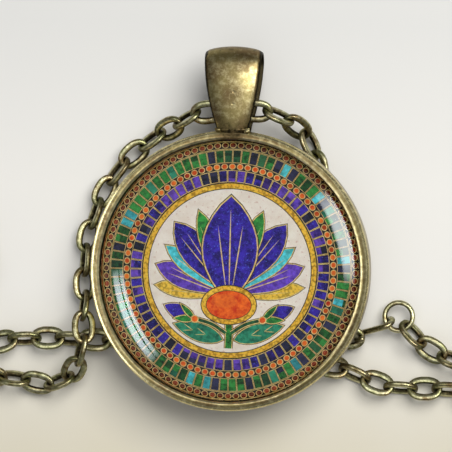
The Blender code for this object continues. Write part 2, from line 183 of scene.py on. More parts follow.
def coil_points(side, core_radius):
    """A flat coil of two strands wound side by side: in along one, and back out along the other."""
    turn_gap = chain_height(COIL_LEAN) + COIL_TURN_GAP
    near_radius = COIL_RADIUS - 2 * turn_gap * COIL_NEAR_TURN
    middle_x = side * (COIL_NEAR_EDGE + chain_height(COIL_LEAN) / 2 + near_radius)
    middle_y = pendant_y - COIL_BOTTOM + COIL_RADIUS
    start = -math.pi / 2
    outer_end = start + (COIL_RADIUS - core_radius) * math.pi / turn_gap
    inner_end = outer_end - math.pi

    def at(turn, radius):
        return table_point(middle_x + side * radius * math.cos(turn), middle_y + radius * math.sin(turn))

    def arm(radius, last):
        steps = int((last - start) / COIL_POINT_STEP)
        turns = [start + (last - start) * i / steps for i in range(steps + 1)]
        return [at(t, radius - (t - start) * turn_gap / math.pi) for t in turns]

    inner_arm = arm(COIL_RADIUS - turn_gap, inner_end)
    outer_arm = arm(COIL_RADIUS, outer_end)
    middle = Vector((middle_x, middle_y, inner_arm[-1].z))
    bends = []
    for end in (inner_arm[-1], outer_arm[-1]):
        hub = (end + middle) / 2
        bends.append([Matrix.Rotation(side * math.pi * i / CORE_BEND_STEPS, 3, "Z") @ (end - hub) + hub
                      for i in range(1, CORE_BEND_STEPS)])
    return inner_arm + bends[0] + [middle] + bends[1][::-1] + outer_arm[::-1]


def ring_centre():
    x, y = RING_CENTRE
    return table_point(x * tray_radius, pendant_y + y * tray_radius)


def clasp_points():
    """Where the ring touches the chain, where it touches the hook, and the hook's far contact."""
    centre = ring_centre()
    reach = RING_INNER_DIAMETER / 2
    chain_side = Vector((*CHAIN_SIDE, 0)).normalized()
    hook_side = Vector((*HOOK_SIDE, 0)).normalized()
    on_chain = centre + chain_side * (reach - CLASP_PLAY)
    on_hook = centre + hook_side * (reach - CLASP_PLAY)
    return on_chain, on_hook, on_hook + hook_side * (HOOK_PITCH - CLASP_PLAY)


def chain_route():
    """Dense points of the chain's centre line, from the clasp ring round to the clasp hook."""
    on_chain, _, hook_end = clasp_points()
    hump = chain_height(SEEN_LEAN) + CROSSING_GAP
    bail_height = bail_middle_z - chain_height(SEEN_LEAN) / 2
    points = [on_chain]
    points += hand_points(RIGHT_OUT, 0) + coil_points(1, RIGHT_COIL_CORE) + hand_points(RIGHT_BACK, 0)
    points += hand_points(UNDER, 0) + hand_points(LEFT_OUT, 0)
    points += coil_points(-1, LEFT_COIL_CORE) + hand_points(LEFT_BACK, 0)
    points += hand_points(CROSSING, hump) + hand_points(UP_LEFT + IN_BAIL + DOWN_RIGHT, bail_height)
    return smooth_curve(points + [hook_end])


def walk(curve, step, count):
    """Points on the curve that lie one straight step apart, count steps at most."""
    joints = [curve[0]]
    index = 0
    while len(joints) <= count and index < len(curve) - 1:
        here = joints[-1]
        if (curve[index + 1] - here).length < step:
            index += 1
            continue
        low, high = 0.0, 1.0
        for _ in range(BISECTIONS):
            middle = (low + high) / 2
            if (curve[index].lerp(curve[index + 1], middle) - here).length < step:
                low = middle
            else:
                high = middle
        joints.append(curve[index].lerp(curve[index + 1], high))
    return joints


def link_joints():
    """The points where links touch. The step is nudged until a whole, even number fits."""
    curve = chain_route()
    nominal = LINK_LENGTH - 2 * WIRE
    length = sum((b - a).length for a, b in zip(curve, curve[1:]))
    count = 2 * round(length / nominal / 2)
    low, high = nominal * (1 - STEP_RANGE), nominal * (1 + STEP_RANGE)
    for _ in range(BISECTIONS):
        step = (low + high) / 2
        if len(walk(curve, step, count)) <= count:
            high = step
        else:
            low = step
    return walk(curve, low, count)


def link_frame(start, end, leaning_over, roll=0.0):
    """Rotation that puts a link's length from start to end. Every second link leans over."""
    along = (end - start).normalized()
    level = Vector((0, 0, 1)).cross(along).normalized()
    up = along.cross(level)
    lean = lean_at((start.x + end.x) / 2) + (math.pi / 2 if leaning_over else 0) + roll
    across = level * math.cos(lean) + up * math.sin(lean)
    normal = along.cross(across)
    return Matrix((along, across, normal)).transposed().to_4x4()


# Mesh helpers

AXIS_TOLERANCE = 1e-9
WOBBLE_TURN_SCALE = 2.5
WOBBLE_HEIGHT_SCALE = 300


def add_object(name, data):
    thing = bpy.data.objects.new(name, data)
    bpy.context.scene.collection.objects.link(thing)
    return thing


def make_piece(name, verts, faces, mat, paleness=None):
    mesh = bpy.data.meshes.new(name)
    mesh.from_pydata(verts, [], faces)
    mesh.materials.append(mat)
    # Wear, patina and painted shade of the bronze: darkest at 0, palest at 1.
    if paleness is not None:
        mesh.attributes.new("paleness", "FLOAT", "POINT").data.foreach_set("value", paleness)
    mesh.shade_smooth()
    mesh.update()
    return add_object(name, mesh)


def circle(count):
    """Cosine and sine of evenly spaced turns."""
    turns = [2 * math.pi * i / count for i in range(count)]
    return [(math.cos(turn), math.sin(turn)) for turn in turns]


def ring_faces(ring_count, sides, closed, offset=0):
    """Quads between rings of vertices. closed joins the last ring to the first."""
    faces = []
    for i in range(ring_count if closed else ring_count - 1):
        a, b = offset + i * sides, offset + (i + 1) % ring_count * sides
        for j in range(sides):
            k = (j + 1) % sides
            faces.append((a + j, a + k, b + k, b + j))
    return faces


def end_faces(ring_count, sides):
    last = (ring_count - 1) * sides
    return [tuple(range(sides - 1, -1, -1)), tuple(range(last, last + sides))]


def power(value, exponent):
    """A power that keeps the value's sign."""
    return math.copysign(abs(value) ** exponent, value)


def turned(profile, segments, wobble=0.0, seed=0.0):
    """(radius, z) points turned about the axis: vertices, faces and each vertex's place in the profile."""
    verts, faces, source, rings = [], [], [], []
    for k, (radius, z) in enumerate(profile):
        if radius < AXIS_TOLERANCE:
            rings.append([len(verts)])
            verts.append(Vector((0, 0, z)))
            source.append(k)
            continue
        rings.append(list(range(len(verts), len(verts) + segments)))
        for x, y in circle(segments):
            out = Vector((x, y, 0))
            spot = out * WOBBLE_TURN_SCALE + Vector((seed, 0, z * WOBBLE_HEIGHT_SCALE))
            shift = wobble * noise.noise(spot)
            verts.append(out * (radius + shift) + Vector((0, 0, z + shift)))
            source.append(k)
    for low, high in zip(rings, rings[1:]):
        for i in range(segments):
            j = (i + 1) % segments
            if len(low) == 1:
                faces.append((low[0], high[j], high[i]))
            elif len(high) == 1:
                faces.append((low[i], low[j], high[0]))
            else:
                faces.append((low[i], low[j], high[j], high[i]))
    return verts, faces, source


# Materials

def plug(tree, socket, value):
    """Links the value to the socket or sets it there. A colour gets its fourth number."""
    if isinstance(value, bpy.types.NodeSocket):
        tree.links.new(value, socket)
    else:
        socket.default_value = (*value, 1.0) if isinstance(value, tuple) else value


class Nodes:
    """Short calls for building a node tree."""

    def __init__(self, name):
        self.mat = bpy.data.materials.new(name)
        self.mat.use_nodes = True
        self.tree = self.mat.node_tree
        self.shader = self.tree.nodes["Principled BSDF"]
        self.place = self.add("ShaderNodeTexCoord").outputs["Object"]

    def add(self, kind, inputs=None, **settings):
        node = self.tree.nodes.new(kind)
        for key, value in settings.items():
            setattr(node, key, value)
        for key, value in (inputs or {}).items():
            plug(self.tree, node.inputs[key], value)
        return node

    def noise(self, size, detail, rough):
        """Noise whose features are about this many metres across."""
        inputs = {"Vector": self.place, "Scale": 1 / size, "Detail": detail, "Roughness": rough}
        return self.add("ShaderNodeTexNoise", inputs).outputs["Fac"]

    def cells(self, size):
        """Distance from the middle of irregular cells about this many metres across."""
        inputs = {"Vector": self.place, "Scale": 1 / size}
        return self.add("ShaderNodeTexVoronoi", inputs).outputs["Distance"]

    def map(self, value, low, high, to_low=0.0, to_high=1.0):
        return self.add("ShaderNodeMapRange", {"Value": value, "From Min": low, "From Max": high,
                                               "To Min": to_low, "To Max": to_high}).outputs["Result"]

    def math(self, operation, a, b):
        return self.add("ShaderNodeMath", {0: a, 1: b}, operation=operation).outputs[0]

    def mix(self, share, a, b):
        return self.add("ShaderNodeMix", {0: share, 6: a, 7: b}, data_type="RGBA").outputs[2]

    def attribute(self, name):
        return self.add("ShaderNodeAttribute", attribute_name=name).outputs["Fac"]

    def set(self, name, value):
        plug(self.tree, self.shader.inputs[name], value)

    def bump(self, height, distance, under=None):
        inputs = {"Height": height, "Distance": distance, "Strength": BUMP_STRENGTH}
        if under is not None:
            inputs["Normal"] = under
        return self.add("ShaderNodeBump", inputs).outputs["Normal"]


# Bronze: colours, and sizes and depths of its grain, its pits and the painted shade in its crevices.
# The per-vertex value is 0 where the metal is black, with age and in places with painted shade, and 1
# where it is rubbed pale.
BRONZE_PATINA_AND_SHADE = (0.026, 0.021, 0.010)
BRONZE_BROWN = (0.20, 0.14, 0.062)
CAST_OLIVE = (0.285, 0.228, 0.092)
CAST_PALE = (0.73, 0.645, 0.345)
CAST_GRAIN = 0.5 * MM
WIRE_OLIVE = (0.185, 0.185, 0.08)
WIRE_PALE = (0.72, 0.70, 0.42)
WIRE_GRAIN = 0.35 * MM
OCCLUSION_SHADE_REACH = 0.5 * MM
GRAIN_DEPTH = 0.02 * MM
PIT_SPACING = 1.3 * MM
PIT_DEPTH = 0.05 * MM
BUMP_STRENGTH = 0.5


def bronze_material(name, olive, pale, grain, pits):
    """Antique bronze plating: mottled olive and brown, worn pale, and blackened by patina and painted
    shade.
    """
    n = Nodes(name)
    mottle = n.noise(grain, 6, 0.7)
    cloud = n.noise(grain * 4, 3, 0.5)
    fine = n.noise(grain * 0.45, 4, 0.65)
    occlusion_shade = n.add("ShaderNodeAmbientOcclusion", {"Distance": OCCLUSION_SHADE_REACH}, samples=8).outputs["AO"]
    mottled_paleness = n.math("ADD", n.attribute("paleness"), n.map(mottle, 0.3, 0.7, -0.28, 0.28))
    colour = n.mix(n.map(cloud, 0.4, 0.6), olive, BRONZE_BROWN)
    colour = n.mix(n.map(mottled_paleness, 0.45, 0.95), colour, pale)
    # Painted shade: the occlusion node darkens crevices, on top of the patina where the value is low.
    dark = n.math("MAXIMUM", n.map(mottled_paleness, 0.34, 0.02), n.map(occlusion_shade, 0.62, 0.25))
    n.set("Base Color", n.mix(dark, colour, BRONZE_PATINA_AND_SHADE))
    n.set("Metallic", 1.0)
    n.set("Roughness", n.math("ADD", n.map(mottled_paleness, 0.1, 0.9, 0.46, 0.24),
                              n.map(mottle, 0.35, 0.65, -0.04, 0.06)))
    normal = n.bump(fine, GRAIN_DEPTH)
    if pits:
        normal = n.bump(n.map(n.cells(PIT_SPACING), 0.04, 0.13), PIT_DEPTH, normal)
    n.set("Normal", normal)
    return n.mat


bronze_cast = bronze_material("antique_bronze_cast", CAST_OLIVE, CAST_PALE, CAST_GRAIN, True)
bronze_wire = bronze_material("antique_bronze_wire", WIRE_OLIVE, WIRE_PALE, WIRE_GRAIN, False)


# Chain links. A power above 2 squares off the oval of the link or the section of its wire.

LINK_SEGMENTS = 32
LINK_SIDES = 12
LINK_POWER = 2.35
WIRE_POWER = 3.0
WIRE_TIP_HALF = 0.272 * MM
WIRE_SIDE_HALF = 0.34 * MM
WIRE_FLAT_HALF = 0.245 * MM
LINK_WIDTH_SPREAD = 0.03
SEAM_PINCH = 0.95
SEAM_GRIME = 0.2
ROLL_SPREAD = math.radians(5)
UPRIGHT_ROLL = math.radians(10)


def wire_paleness(x, y, side):
    """Wear and painted shade round the wire: x points out of the link, y out of its plane. side is 1 on
    its long sides.
    """
    # Rubbed pale on the flats and the outer ridge; elsewhere patina with painted shade, deepest on the
    # inner side and on the inner faces of the ends, where links touch.
    flat = max(abs(y) - 0.6, 0) / 0.4
    outer = max(x - 0.65, 0) / 0.35
    rub_and_shade = 0.26 + 0.52 * flat * (0.45 + 0.55 * side) + 0.44 * outer * (0.35 + 0.65 * side)
    if x < -0.6:
        rub_and_shade -= 0.2
    return rub_and_shade - 0.5 * (1 - side) * max(-x, 0)


def link_mesh(place, shape):
    """One oval link of flattened wire: vertices, faces, and its wear and painted shade."""
    tip = (LINK_LENGTH - WIRE) / 2
    half = (LINK_WIDTH - WIRE) / 2 * shape.uniform(1 - LINK_WIDTH_SPREAD, 1 + LINK_WIDTH_SPREAD)
    seam = LINK_SEGMENTS // 4 if shape.random() < 0.5 else 3 * LINK_SEGMENTS // 4
    outline = [Vector((tip * power(x, 2 / LINK_POWER), half * power(y, 2 / LINK_POWER), 0))
               for x, y in circle(LINK_SEGMENTS)]
    verts, paleness = [], []
    for i, point in enumerate(outline):
        along = (outline[(i + 1) % LINK_SEGMENTS] - outline[i - 1]).normalized()
        outward = along.cross(Vector((0, 0, 1)))
        side = min(abs(point.y) / half, 1) ** 2
        thick = WIRE_TIP_HALF + (WIRE_SIDE_HALF - WIRE_TIP_HALF) * side
        pinch, grime = (SEAM_PINCH, SEAM_GRIME) if i == seam else (1.0, 0.0)
        for x, y in circle(LINK_SIDES):
            u = thick * pinch * power(x, 2 / WIRE_POWER)
            v = WIRE_FLAT_HALF * pinch * power(y, 2 / WIRE_POWER)
            verts.append(place @ (point + outward * u + Vector((0, 0, v))))
            paleness.append(wire_paleness(x, y, side) - grime)
    return verts, ring_faces(LINK_SEGMENTS, LINK_SIDES, True), paleness


def make_chain():
    joints = link_joints()
    count = len(joints) - 1
    pieces = []
    for first in range(0, count, LINKS_PER_STRETCH):
        verts, faces, paleness = [], [], []
        for i in range(first, min(first + LINKS_PER_STRETCH, count)):
            shape = random.Random(i)
            start, end = joints[i], joints[i + 1]
            roll = shape.uniform(-ROLL_SPREAD, ROLL_SPREAD) + (UPRIGHT_ROLL if i % 2 == 0 else 0)
            place = Matrix.Translation((start + end) / 2) @ link_frame(start, end, i % 2 == 0, roll)
            link_verts, link_faces, link_paleness = link_mesh(place, shape)
            lowest = min(v.z for v in link_verts)
            lift = Vector((0, 0, max(-lowest, 0)))
            offset = len(verts)
            verts += [v + lift for v in link_verts]
            faces += [tuple(offset + k for k in face) for face in link_faces]
            paleness += link_paleness
        number = first // LINKS_PER_STRETCH + 1
        piece = make_piece(f"links_{number:02d}", verts, faces, bronze_wire, paleness)
        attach(piece, "root")
        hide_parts(f"chain_{number:02d}")
        pieces.append(piece)
    return pieces


# Clasp

RING_SEGMENTS = 72
RING_SIDES = 16
HOOK_BEND_STEPS = 28
HOOK_SHANK_STEPS = 8
HOOK_SIDES = 14
HOOK_END_POINTS = 3
HOOK_END_CUT = 0.85


def make_ring():
    radius, wire = (RING_INNER_DIAMETER + RING_WIRE) / 2, RING_WIRE / 2
    centre = ring_centre()
    verts, paleness = [], []
    for out_x, out_y in circle(RING_SEGMENTS):
        for x, y in circle(RING_SIDES):
            out = Vector((out_x, out_y, 0)) * (radius + wire * x)
            verts.append(centre + out + Vector((0, 0, wire * y)))
            paleness.append(0.5 + 0.25 * x + 0.15 * abs(y))
    faces = ring_faces(RING_SEGMENTS, RING_SIDES, True)
    piece = make_piece("wire_ring", verts, faces, bronze_wire, paleness)
    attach(piece, "root")
    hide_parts("clasp_ring")
    return piece


def sweep(path, side, sections):
    """Vertices of sections swept along an open flat path, each of (outward, sideways) offsets."""
    verts = []
    for i, point in enumerate(path):
        before, after = path[max(i - 1, 0)], path[min(i + 1, len(path) - 1)]
        outward = (after - before).normalized().cross(side)
        verts += [point + outward * u + side * v for u, v in sections[i]]
    return verts


def make_hook():
    _, on_hook, hook_end = clasp_points()
    reach = HOOK_PITCH / 2 - (HOOK_BEND_RADIUS - CLASP_WIRE / 2)
    path = []
    for i in range(HOOK_BEND_STEPS + 1):
        turn = math.pi * (1 - i / HOOK_BEND_STEPS)
        path.append(Vector((reach + HOOK_BEND_RADIUS * math.sin(turn),
                            HOOK_BEND_RADIUS * math.cos(turn), 0)))
    shank = [path[-1].lerp(-path[-1], k / HOOK_SHANK_STEPS) for k in range(1, HOOK_SHANK_STEPS)]
    path += shank + [-point for point in path[::-1]]
    sections, paleness = [], []
    for i in range(len(path)):
        from_end = min(i, len(path) - 1 - i)
        cut = (1 - min(from_end / HOOK_END_POINTS, 1)) ** 2 * HOOK_END_CUT
        radius = CLASP_WIRE / 2 * math.sqrt(1 - cut)
        sections.append([(radius * x, radius * y) for x, y in circle(HOOK_SIDES)])
        paleness += [0.5 + 0.25 * abs(y) for _, y in circle(HOOK_SIDES)]
    place = Matrix.Translation((on_hook + hook_end) / 2) @ link_frame(hook_end, on_hook, True)
    verts = [place @ v for v in sweep(path, Vector((0, 0, 1)), sections)]
    faces = ring_faces(len(path), HOOK_SIDES, False) + end_faces(len(path), HOOK_SIDES)
    piece = make_piece("s_hook", verts, faces, bronze_wire, paleness)
    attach(piece, "root")
    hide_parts("clasp_hook")
    return piece


# Tray and bail

TRAY_SEGMENTS = 192
TRAY_WOBBLE = 0.02 * MM
TRAY_SEED = 3.0
OUTER_ROUNDING = 0.42 * MM
INNER_CHAMFER = 0.22 * MM
INNER_DROP = 0.13 * MM
EDGE_SOFTENING = 0.03 * MM
RIM_SLOPE = 0.06 * MM
RIM_SLOPE_ANGLE = 7
RIM_SLOPE_INSET = 0.52 * MM
OUTER_EDGE_WEAR = 0.85
INNER_EDGE_WEAR = 0.8
BACK_WEAR = 0.55
BACK_REACH = 0.1 * MM
PLAIN_WEAR = 0.5
ROOT_PATINA_AND_SHADE = 0.45
ARC_STEPS = 8

chamfer_top = opening_radius + INNER_CHAMFER


def arc(centre_r, centre_z, radius, first, last):
    turns = [math.radians(first + (last - first) * i / ARC_STEPS) for i in range(ARC_STEPS + 1)]
    return [(centre_r + radius * math.cos(t), centre_z + radius * math.sin(t)) for t in turns]


def tray_profile():
    """The tray's section as (radius, z) points, from the middle of its back round to its inner floor."""
    r, inner, h = tray_radius, opening_radius, TRAY_HEIGHT
    profile = [(0, 0), (r * 0.4, 0), (r * 0.8, 0)]
    profile += arc(r - BACK_FILLET, BACK_FILLET, BACK_FILLET, -90, 0)
    profile += [(r, h * 0.4), (r, h * 0.6), (r, h - OUTER_ROUNDING * 1.8)]
    profile += arc(r - OUTER_ROUNDING, h - RIM_SLOPE - OUTER_ROUNDING, OUTER_ROUNDING, 0,
                   90 - RIM_SLOPE_ANGLE)
    profile += [(r - RIM_SLOPE_INSET, h - RIM_SLOPE * 0.3), (chamfer_top + 2 * EDGE_SOFTENING, h)]
    profile += [(chamfer_top, h - EDGE_SOFTENING / 3), (inner + EDGE_SOFTENING, h - INNER_DROP)]
    profile += [(inner, h - INNER_DROP - EDGE_SOFTENING), (inner, h * 0.7), (inner, h * 0.4)]
    return profile + [(inner, TRAY_FLOOR), (0, TRAY_FLOOR)]


def tray_wear(radius, z):
    """Wear at a point of the tray's section."""
    shoulder = TRAY_HEIGHT - RIM_SLOPE
    if z > shoulder - OUTER_ROUNDING and radius > tray_radius - OUTER_ROUNDING * 0.8:
        return OUTER_EDGE_WEAR
    if z > shoulder and radius > chamfer_top + EDGE_SOFTENING:
        return PLAIN_WEAR
    if z > TRAY_HEIGHT - INNER_DROP - EDGE_SOFTENING / 2 and radius < tray_radius - OUTER_ROUNDING:
        return INNER_EDGE_WEAR
    if radius > tray_radius - BACK_FILLET:
        return PLAIN_WEAR
    return BACK_WEAR if z < BACK_REACH else 0.0


def make_tray():
    profile = tray_profile()
    verts, faces, source = turned(profile, TRAY_SEGMENTS, TRAY_WOBBLE, TRAY_SEED)
    paleness = []
    for v, k in zip(verts, source):
        radius, z = profile[k]
        rub_and_shade = tray_wear(radius, z)
        # Patina and painted shade on the rim round the bail's root.
        if z > 0.5 * TRAY_HEIGHT and v.y > 0:
            rub_and_shade -= ROOT_PATINA_AND_SHADE * max(1 - abs(v.x) / BAIL_ROOT_WIDTH * 1.3, 0)
        paleness.append(rub_and_shade)
        v.y += pendant_y
        v.z += tray_z
    piece = make_piece("bezel_tray", verts, faces, bronze_cast, paleness)
    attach(piece, "root")
    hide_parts("pendant_tray")
    return piece


BAIL_BOW = 0.15
BAIL_STEPS = 28
BAIL_BACK_STEPS = 6
STRAP_INSIDE_STEPS = 6
STRAP_CROWN_STEPS = 16
STRAP_ROUNDING = 0.13 * MM
STRAP_EDGE_DROP = 0.12 * MM
STRAP_EDGE_PULL = 0.015
STRAP_EDGE_POWER = 14
BAIL_WEAR = 0.52
BAIL_FACE_DEPTH = 0.2 * MM
ROOT_SHADE, ROOT_SHADE_REACH = 0.4, 1.6 * MM
FOLD_SHADE, FOLD_SHADE_REACH = 0.3, 1.5 * MM


def bail_path():
    """Centre line of the folded strap, from the back root to the front, whose face bows out a little."""
    middle = bail_middle_z
    bend = (bail_opening + STRAP_THICKNESS) / 2
    arc_y = bail_top - STRAP_THICKNESS / 2 - bend
    root_y = tray_radius - BAIL_ROOT_DEPTH
    path = [Vector((0, root_y + (arc_y - root_y) * i / BAIL_BACK_STEPS, middle - bend))
            for i in range(BAIL_BACK_STEPS)]
    for i in range(BAIL_STEPS + 1):
        turn = -math.pi / 2 + (math.pi - BAIL_BOW) * i / BAIL_STEPS
        path.append(Vector((0, arc_y + bend * math.cos(turn), middle + bend * math.sin(turn))))
    last = path[-1]
    start = Vector((0, tray_radius + BAIL_ROOT_RUN, last.z))
    end = Vector((0, root_y, middle + bend - BAIL_ROOT_DROP))
    rise = Vector((0, -1, BAIL_BOW))
    fall = Vector((0, -1, -BAIL_BOW))
    reach = (last.y - start.y) / 3
    path += interpolate_bezier(last, last + rise * reach, start - fall * reach, start,
                               BAIL_STEPS // 2)[1:-1]
    front_ease = fall * BAIL_ROOT_RUN * BAIL_ROOT_FRONT_EASE
    back_ease = Vector((0, BAIL_ROOT_RUN * BAIL_ROOT_BACK_EASE, BAIL_ROOT_DROP / 2))
    path += interpolate_bezier(start, start + front_ease, end + back_ease, end, BAIL_STEPS)
    return [p + Vector((0, pendant_y, 0)) for p in path]


def strap_section(width):
    """Section of the strap: flat inside, crowned outside, with rounded edges."""
    half, low, rounding = width / 2, -STRAP_THICKNESS / 2, STRAP_ROUNDING
    corner = [(low + rounding * (1 - math.cos(t)), rounding * (1 - math.sin(t)) - half)
              for t in (math.pi / 4, math.pi / 2)]
    points = [(low, -half + rounding + (width - 2 * rounding) * i / STRAP_INSIDE_STEPS)
              for i in range(STRAP_INSIDE_STEPS, -1, -1)]
    points += corner
    for i in range(STRAP_CROWN_STEPS + 1):
        across = -1 + 2 * i / STRAP_CROWN_STEPS
        edge = abs(across) ** STRAP_EDGE_POWER
        top = STRAP_THICKNESS / 2 - STRAP_CROWN * across ** 2
        points.append((top - STRAP_EDGE_DROP * edge, half * across * (1 - STRAP_EDGE_PULL * edge)))
    return points + [(u, -v) for u, v in corner[::-1]]


def bail_width(y):
    share = min(max((bail_top + pendant_y - y) / BAIL_HEIGHT, 0), 1)
    spread = BAIL_TOP_WIDTH - BAIL_ROOT_WIDTH
    return BAIL_ROOT_WIDTH + spread * (1 - share ** BAIL_TAPER_POWER)


BLOB_RINGS = 8
BLOB_SIDES = 14
BLOB_SWELL = 0.35
BLOB_SWELL_SCALE = 1.3


def blob(centre, radii, seed):
    """A small uneven drop: vertices and faces."""
    sides = BLOB_SIDES
    verts = [Vector((0, 0, -1))]
    for i in range(1, BLOB_RINGS):
        tilt = math.pi * i / BLOB_RINGS - math.pi / 2
        out, up = math.cos(tilt), math.sin(tilt)
        verts += [Vector((out * x, out * y, up)) for x, y in circle(sides)]
    verts.append(Vector((0, 0, 1)))
    last = len(verts) - 1
    faces = [(0, 1 + (j + 1) % sides, 1 + j) for j in range(sides)]
    faces += ring_faces(BLOB_RINGS - 1, sides, False, 1)
    faces += [(last, last - sides + j, last - sides + (j + 1) % sides) for j in range(sides)]
    placed = []
    for v in verts:
        swell = 1 + BLOB_SWELL * noise.noise(v * BLOB_SWELL_SCALE + Vector((seed, 0, 0)))
        placed.append(centre + Vector((v.x * radii[0], v.y * radii[1], v.z * radii[2])) * swell)
    return placed, faces


# Drops of solder where the bail meets the rim: place along the joint, out of it and up, and radii,
# in millimetres. The first is paler than the others.
SOLDER = [((1.5, 0.05, -0.05), (0.30, 0.24, 0.20)), ((1.05, 0.12, -0.10), (0.34, 0.20, 0.16)),
          ((-1.35, 0.10, -0.22), (0.30, 0.22, 0.15)), ((-0.5, 0.08, -0.10), (0.55, 0.16, 0.12)),
          ((0.3, 0.08, -0.10), (0.60, 0.16, 0.12))]


def make_bail():
    path = bail_path()
    sections = [strap_section(bail_width(p.y)) for p in path]
    sides = len(sections[0])
    verts = sweep(path, Vector((1, 0, 0)), sections)
    paleness = []
    # Front face worn pale, with painted shade near the root and the top fold; back and inside dark, with
    # painted shade at their edges.
    for p, section in zip(path, sections):
        root = max(1 - (p.y - pendant_y - tray_radius) / ROOT_SHADE_REACH, 0)
        fold = max(1 - (bail_top + pendant_y - p.y) / FOLD_SHADE_REACH, 0)
        for u, v in section:
            edge = (abs(v) / (bail_width(p.y) / 2)) ** 6
            if u > -STRAP_THICKNESS / 2 + BAIL_FACE_DEPTH and p.z > bail_middle_z:
                paleness.append(BAIL_WEAR + 0.1 * edge - ROOT_SHADE * root - FOLD_SHADE * fold)
            else:
                paleness.append(0.1 - 0.4 * edge)
    faces = ring_faces(len(path), sides, False) + end_faces(len(path), sides)
    for k, (place, radii) in enumerate(SOLDER):
        x, out, up = (value * MM for value in place)
        y = pendant_y + math.sqrt(tray_radius ** 2 - x ** 2) + out
        centre = Vector((x, y, tray_z + TRAY_HEIGHT + up))
        drop_verts, drop_faces = blob(centre, [value * MM for value in radii], 3.7 * k)
        faces += [tuple(len(verts) + j for j in face) for face in drop_faces]
        verts += drop_verts
        paleness += [0.8 if k == 0 else 0.3] * len(drop_verts)
    piece = make_piece("folded_bail", verts, faces, bronze_cast, paleness)
    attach(piece, "root")
    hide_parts("pendant_tray")
    return piece


chain_pieces = make_chain() + [make_ring(), make_hook()]
tray_piece = make_tray()
bail_piece = make_bail()


# Glass

GLASS_SEGMENTS = 128
DOME_STEPS = 28
EDGE_STEP = 0.2
GLASS_BEVEL = 0.1 * MM
PRINT_OVERLAP = 0.03 * MM


def make_glass():
    """The clear dome. Narrow rings beside its edge keep the shading of dome and side apart."""
    radius = GLASS_DIAMETER / 2
    sphere = (radius ** 2 + GLASS_DOME_RISE ** 2) / (2 * GLASS_DOME_RISE)
    edge_turn = math.asin(radius / sphere)
    edge_z = glass_z + GLASS_EDGE_HEIGHT
    top = edge_z + GLASS_DOME_RISE
    low = print_top - PRINT_OVERLAP
    profile = [(0, low), (radius - GLASS_BEVEL, low), (radius, low + GLASS_BEVEL),
               (radius, edge_z - GLASS_BEVEL)]
    for step in [0, EDGE_STEP] + list(range(1, DOME_STEPS)):
        turn = edge_turn * (1 - step / DOME_STEPS)
        profile.append((sphere * math.sin(turn), top - sphere * (1 - math.cos(turn))))
    profile.append((0, top))
    verts, faces, _ = turned(profile, GLASS_SEGMENTS)
    for v in verts:
        v.y += pendant_y
    n = Nodes("clear_glass_dome")
    n.set("Base Color", (1.0, 1.0, 1.0))
    n.set("Transmission Weight", 1.0)
    n.set("Roughness", 0.0)
    n.set("IOR", 1.5)
    n.set("Coat Weight", 1.0)
    n.set("Coat Roughness", 0.0)
    n.set("Coat IOR", 1.6)
    piece = make_piece("glass_dome", verts, faces, n.mat)
    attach(piece, "root")
    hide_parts("glass_cabochon")
    return piece


dome = make_glass()


# Print under the glass

def paper_material(name, first, second, size, spread=0.14, fleck=None, grain=None):
    """Printed paper in two mingling colours. Each shape's own shade makes it darker or lighter."""
    n = Nodes(name)
    colour = n.mix(n.map(n.noise(size, 5, 0.65), 0.5 - spread, 0.5 + spread), first, second)
    if fleck:
        colour = n.mix(n.map(n.noise(size * 0.22, 2, 0.5), 0.62, 0.72), colour, fleck)
    if grain:
        colour = n.mix(n.map(n.cells(grain), 0.45, 0.8), colour, tuple(c * 0.5 for c in first))
    shade = n.attribute("paleness")
    colour = n.mix(n.map(shade, 0.5, 0.0), colour, tuple(c * 0.22 for c in first))
    light = tuple(min(c * 2.0 + 0.02, 1) for c in second)
    n.set("Base Color", n.mix(n.map(shade, 0.5, 1.0, 0.0, 0.35), colour, light))
    n.set("Roughness", 0.5)
    n.set("Specular IOR Level", 0.0)
    return n.mat


# Two mingling colours and the size of their clouds, then spread, flecks and grain where they differ
INKS = {
    "parchment": ((0.98, 0.93, 0.84), (0.88, 0.79, 0.69), 1.1 * MM, 0.16, (0.76, 0.57, 0.48)),
    "outline": ((0.014, 0.012, 0.011), (0.035, 0.025, 0.02), 0.5 * MM),
    "gold": ((0.52, 0.36, 0.09), (0.92, 0.72, 0.30), 0.35 * MM),
    "granules": ((0.86, 0.46, 0.02), (1.0, 0.70, 0.08), 0.5 * MM, 0.2, None, 0.24 * MM),
    "lapis": ((0.008, 0.004, 0.07), (0.04, 0.018, 0.45), 0.6 * MM, 0.12, (0.08, 0.15, 0.90)),
    "violet": ((0.03, 0.012, 0.17), (0.16, 0.07, 0.72), 0.45 * MM),
    "navy": ((0.004, 0.005, 0.016), (0.025, 0.03, 0.10), 0.4 * MM),
    "emerald": ((0.004, 0.05, 0.012), (0.035, 0.36, 0.055), 0.35 * MM),
    "pine": ((0.003, 0.022, 0.010), (0.02, 0.16, 0.055), 0.35 * MM),
    "turquoise": ((0.02, 0.33, 0.37), (0.10, 0.82, 0.96), 0.4 * MM),
    "jade": ((0.008, 0.12, 0.07), (0.03, 0.35, 0.20), 0.5 * MM),
    "carnelian": ((0.68, 0.028, 0.003), (1.0, 0.19, 0.01), 0.6 * MM),
    "garnet": ((0.09, 0.008, 0.006), (0.38, 0.06, 0.022), 0.3 * MM),
}
ink_names = list(INKS)
ink_materials = [paper_material(f"print_{name}", *look) for name, look in INKS.items()]
print_shapes = []

DISC_SIDES = 12
OVAL_SIDES = 28
BAND_SIDES = 180
PETAL_STEPS = 10
STEM_STEPS = 6
GOLD_WALL = 0.075
DARK_LINE = 0.05
CELL_LINE = 0.035
CORNER_LIMIT = 0.45
FOLD_TOLERANCE = 1e-6
SECOND_TONE_SHARE = 0.6


